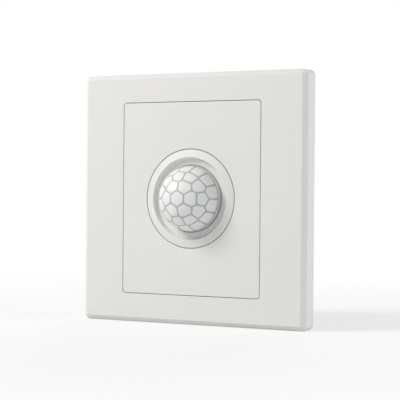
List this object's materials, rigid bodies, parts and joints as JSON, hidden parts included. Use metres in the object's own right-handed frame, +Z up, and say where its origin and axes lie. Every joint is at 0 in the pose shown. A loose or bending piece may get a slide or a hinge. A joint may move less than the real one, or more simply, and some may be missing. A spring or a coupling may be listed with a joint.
{
  "type": "motion sensor relay",
  "caption": "Square bevelled wall plate with a faceted infrared dome lens in a round ring; a relay and terminals sit in a box behind it.",
  "frame": {"origin": "centre of the plate, in the plane of the wall surface", "axes": "+X to the right as seen from the room, +Y into the wall, +Z up"},
  "size_m": [0.086, 0.0432, 0.086],
  "materials": {
    "white_shell": "satin",
    "milky_lens": "satin",
    "carrier_plastic": "fine texture",
    "housing_plastic": "fine texture",
    "board_laminate": "solder mask",
    "nylon": "matt",
    "zinc_steel": "zinc plated",
    "can_steel": "nickel plated",
    "dark_window": "polished",
    "tinned_lead": "tinned",
    "red_lamp": "clear tinted",
    "clear_resin": "clear",
    "blue_plastic": "satin",
    "knob_plastic": "satin",
    "black_plastic": "matt",
    "button_plastic": "satin",
    "chip_ceramic": "matt",
    "capacitor_ceramic": "matt",
    "terminal_plastic": "satin",
    "brass": "bright",
    "cage_steel": "nickel plated",
    "relay_plastic": "satin",
    "relay_base_plastic": "matt",
    "soft_iron": "plated",
    "copper": "enamelled wire",
    "yellow_film": "satin",
    "ferrite": "matt",
    "winding_tape": "tape",
    "dark_sleeve": "printed sleeve without text",
    "varistor_coat": "epoxy coated",
    "resistor_coat": "cement coated",
    "label_film": "satin film"
  },
  "bodies": {
    "mounting": {"support_plate": "carrier_plastic", "rear_housing": "housing_plastic", "rating_label": "label_film", "sensor_board": "board_laminate", "relay_board": "board_laminate", "board_spacers": "nylon", "housing_screws": "zinc_steel", "sensor_socket": "nylon", "sensor_can": "can_steel", "sensor_window": "dark_window", "sensor_pins": "tinned_lead", "indicator_lamp": "red_lamp", "light_sensor": "clear_resin", "trimmer_bodies": "blue_plastic", "mode_switch_body": "black_plastic", "test_button_body": "black_plastic", "controller_chip": "black_plastic", "chip_resistors": "chip_ceramic", "chip_capacitors": "capacitor_ceramic", "header_body": "black_plastic", "header_pins": "tinned_lead", "terminal_block": "terminal_plastic", "terminal_bars": "brass", "relay_base": "relay_base_plastic", "relay_cover": "relay_plastic", "relay_yoke": "soft_iron", "relay_core": "soft_iron", "relay_bobbin": "nylon", "relay_coil": "copper", "relay_fixed_contact": "brass", "relay_pins": "tinned_lead", "film_capacitor": "yellow_film", "transformer_core": "ferrite", "transformer_winding": "winding_tape", "bulk_capacitor": "dark_sleeve", "smoothing_capacitor": "dark_sleeve", "varistor": "varistor_coat", "fuse_resistor": "resistor_coat", "bridge_rectifier": "black_plastic", "supply_leads": "tinned_lead"},
    "frame": {"outer_frame": "white_shell"},
    "cover": {"centre_cover": "white_shell", "lens_bezel": "white_shell", "dome_lens": "milky_lens", "lens_retainer": "carrier_plastic"},
    "time_knob": {"time_knob": "knob_plastic"},
    "light_level_knob": {"light_level_knob": "knob_plastic"},
    "range_knob": {"range_knob": "knob_plastic"},
    "mode_slider": {"mode_switch_slider": "knob_plastic"},
    "test_plunger": {"test_button_plunger": "button_plastic"},
    "armature": {"relay_armature": "soft_iron", "relay_blade": "brass"},
    "clamp_screw_1": {"terminal_screw_1": "zinc_steel"},
    "clamp_cage_1": {"terminal_cage_1": "cage_steel"},
    "clamp_screw_2": {"terminal_screw_2": "zinc_steel"},
    "clamp_cage_2": {"terminal_cage_2": "cage_steel"},
    "clamp_screw_3": {"terminal_screw_3": "zinc_steel"},
    "clamp_cage_3": {"terminal_cage_3": "cage_steel"},
    "clamp_screw_4": {"terminal_screw_4": "zinc_steel"},
    "clamp_cage_4": {"terminal_cage_4": "cage_steel"}
  },
  "joints": [
    {"name": "frame_pull", "type": "slide", "parent": "mounting", "child": "frame", "axis": [0, -1, 0], "range_m": [0, 0.02]},
    {"name": "cover_pull", "type": "slide", "parent": "mounting", "child": "cover", "axis": [0, -1, 0], "range_m": [0, 0.03]},
    {"name": "time_knob_turn", "type": "hinge", "parent": "mounting", "child": "time_knob", "pos_m": [-0.0095, -0.0032, -0.018], "axis": [0, 1, 0], "range_deg": [-135, 135]},
    {"name": "light_level_knob_turn", "type": "hinge", "parent": "mounting", "child": "light_level_knob", "pos_m": [0, -0.0032, -0.018], "axis": [0, 1, 0], "range_deg": [-135, 135]},
    {"name": "range_knob_turn", "type": "hinge", "parent": "mounting", "child": "range_knob", "pos_m": [0.0095, -0.0032, -0.018], "axis": [0, 1, 0], "range_deg": [-135, 135]},
    {"name": "mode_slide", "type": "slide", "parent": "mounting", "child": "mode_slider", "axis": [1, 0, 0], "range_m": [0, 0.003]},
    {"name": "test_press", "type": "slide", "parent": "mounting", "child": "test_plunger", "axis": [0, 1, 0], "range_m": [0, 0.0005], "stiffness_N_per_m": 200, "springref_m": -0.002},
    {"name": "armature_close", "type": "hinge", "parent": "mounting", "child": "armature", "pos_m": [-0.0083, 0.02005, -0.0035], "axis": [0, 0, 1], "range_deg": [0, 2.2], "stiffness_Nm_per_rad": 0.01, "springref_deg": -5.73},
    {"name": "clamp_screw_1_turn", "type": "hinge", "parent": "mounting", "child": "clamp_screw_1", "pos_m": [-0.01125, 0.0223, -0.0184], "axis": [0, -1, 0], "range_deg": [0, 2520]},
    {"name": "clamp_cage_1_rise", "type": "slide", "parent": "mounting", "child": "clamp_cage_1", "axis": [0, 1, 0], "range_m": [0, 0.0035]},
    {"name": "clamp_screw_2_turn", "type": "hinge", "parent": "mounting", "child": "clamp_screw_2", "pos_m": [-0.00375, 0.0223, -0.0184], "axis": [0, -1, 0], "range_deg": [0, 2520]},
    {"name": "clamp_cage_2_rise", "type": "slide", "parent": "mounting", "child": "clamp_cage_2", "axis": [0, 1, 0], "range_m": [0, 0.0035]},
    {"name": "clamp_screw_3_turn", "type": "hinge", "parent": "mounting", "child": "clamp_screw_3", "pos_m": [0.00375, 0.0223, -0.0184], "axis": [0, -1, 0], "range_deg": [0, 2520]},
    {"name": "clamp_cage_3_rise", "type": "slide", "parent": "mounting", "child": "clamp_cage_3", "axis": [0, 1, 0], "range_m": [0, 0.0035]},
    {"name": "clamp_screw_4_turn", "type": "hinge", "parent": "mounting", "child": "clamp_screw_4", "pos_m": [0.01125, 0.0223, -0.0184], "axis": [0, -1, 0], "range_deg": [0, 2520]},
    {"name": "clamp_cage_4_rise", "type": "slide", "parent": "mounting", "child": "clamp_cage_4", "axis": [0, 1, 0], "range_m": [0, 0.0035]}
  ],
  "couplings": [
    {"joint": "clamp_screw_1_turn", "follows": "clamp_cage_1_rise", "rad_per_m": 12566},
    {"joint": "clamp_screw_2_turn", "follows": "clamp_cage_2_rise", "rad_per_m": 12566},
    {"joint": "clamp_screw_3_turn", "follows": "clamp_cage_3_rise", "rad_per_m": 12566},
    {"joint": "clamp_screw_4_turn", "follows": "clamp_cage_4_rise", "rad_per_m": 12566}
  ]
}
